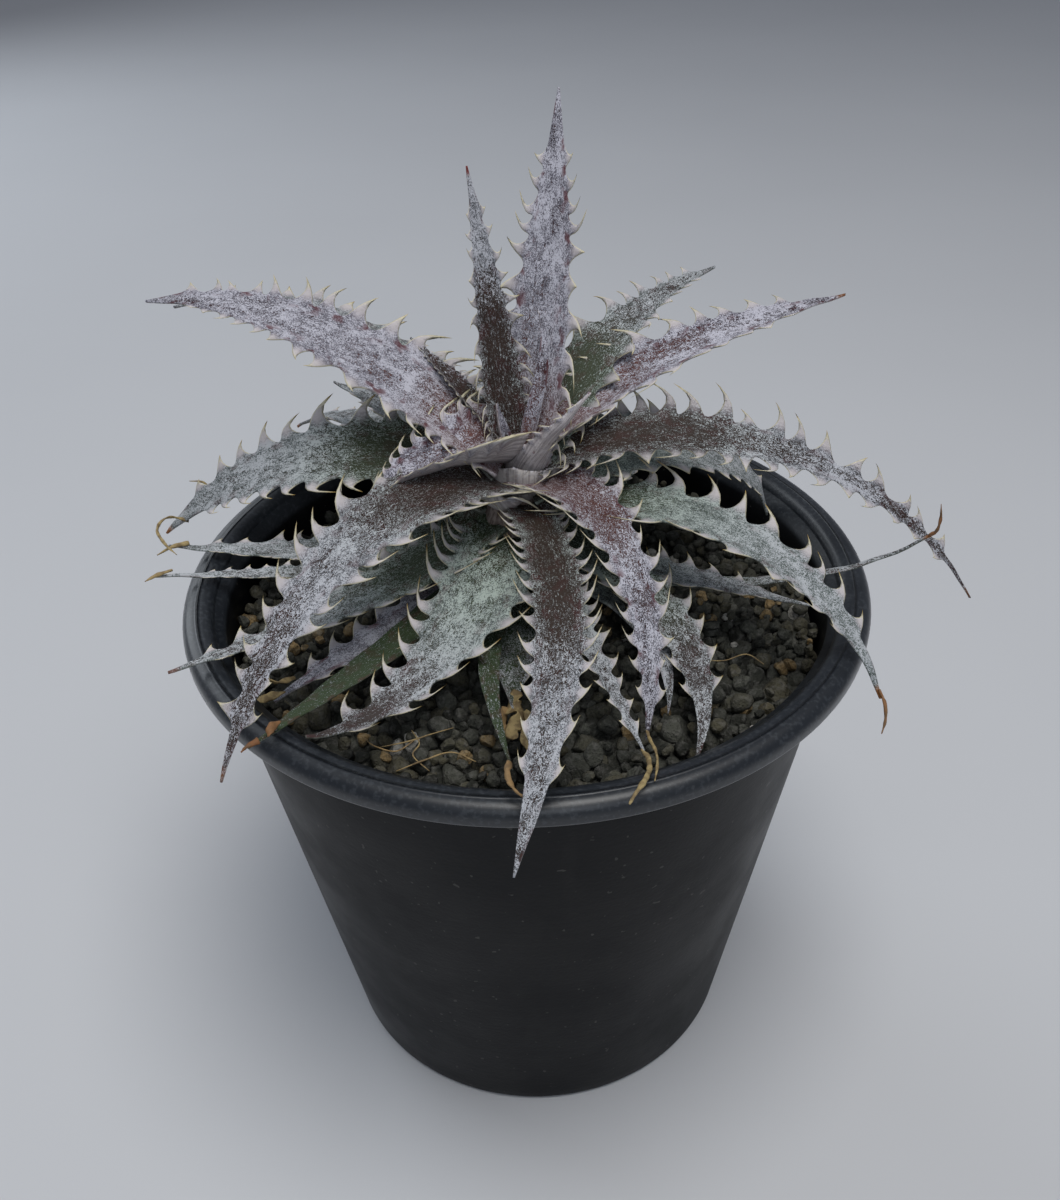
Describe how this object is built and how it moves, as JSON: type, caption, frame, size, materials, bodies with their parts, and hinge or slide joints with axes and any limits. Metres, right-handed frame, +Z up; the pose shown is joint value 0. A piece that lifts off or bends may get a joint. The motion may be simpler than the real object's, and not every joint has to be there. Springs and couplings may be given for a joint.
{
  "type": "dyckia bromeliad in a nursery pot",
  "caption": "Young dyckia rosette with stiff, spiny-edged silver-purple leaves, rooted in dark gravel in a round black nursery pot with a rolled rim.",
  "frame": {"origin": "centre of the pot's underside, on the surface that it stands on", "axes": "+Z up, out of the pot's mouth; -Y is the front, the side seen in the picture, and +X is right from there"},
  "size_m": [0.1362, 0.1279, 0.1601],
  "materials": {
    "pot": "satin black moulded plastic",
    "gravel": "dark grey volcanic grit with a few tan and white grains",
    "crown": "matt brown stem",
    "leaf": "stiff purple-brown blade under silvery scurf"
  },
  "bodies": {
    "root": {"pot": "pot", "crown": "crown", "leaf_heart_bud": "leaf", "leaf_heart_needle_right": "leaf", "leaf_heart_needle_left": "leaf", "leaf_heart_right": "leaf", "leaf_heart_front_left": "leaf", "leaf_slim_upright": "leaf", "leaf_tall_back": "leaf", "leaf_left_long": "leaf", "leaf_right_raised": "leaf", "leaf_right_arch": "leaf", "leaf_front_right": "leaf", "leaf_front_long": "leaf", "leaf_front_left_broad": "leaf", "leaf_left_arch": "leaf", "leaf_left_back_raised": "leaf", "leaf_left_back": "leaf", "leaf_back_right_raised": "leaf", "leaf_right_low_arch": "leaf", "leaf_front_right_low": "leaf", "leaf_front_right_under": "leaf", "leaf_front_right_narrow": "leaf", "leaf_left_low_grey": "leaf", "leaf_left_broken": "leaf", "leaf_left_green": "leaf", "leaf_left_flat": "leaf", "leaf_left_thin": "leaf", "leaf_back_left_pale": "leaf", "leaf_front_green": "leaf", "leaf_front_narrow": "leaf", "leaf_right_soil": "leaf", "leaf_right_back_low": "leaf", "leaf_right_dry": "leaf", "leaf_back_raised": "leaf", "leaf_back_left_raised": "leaf", "leaf_back_right_arch": "leaf", "leaf_back_arch": "leaf", "leaf_back_right_mid": "leaf", "leaf_back_left_mid": "leaf", "leaf_back_left_arch": "leaf", "leaf_back_right_low": "leaf", "leaf_back_low": "leaf", "leaf_back_left_low": "leaf", "leaf_back_soil": "leaf", "leaf_back_right_soil": "leaf", "gravel": "gravel"}
  },
  "joints": []
}
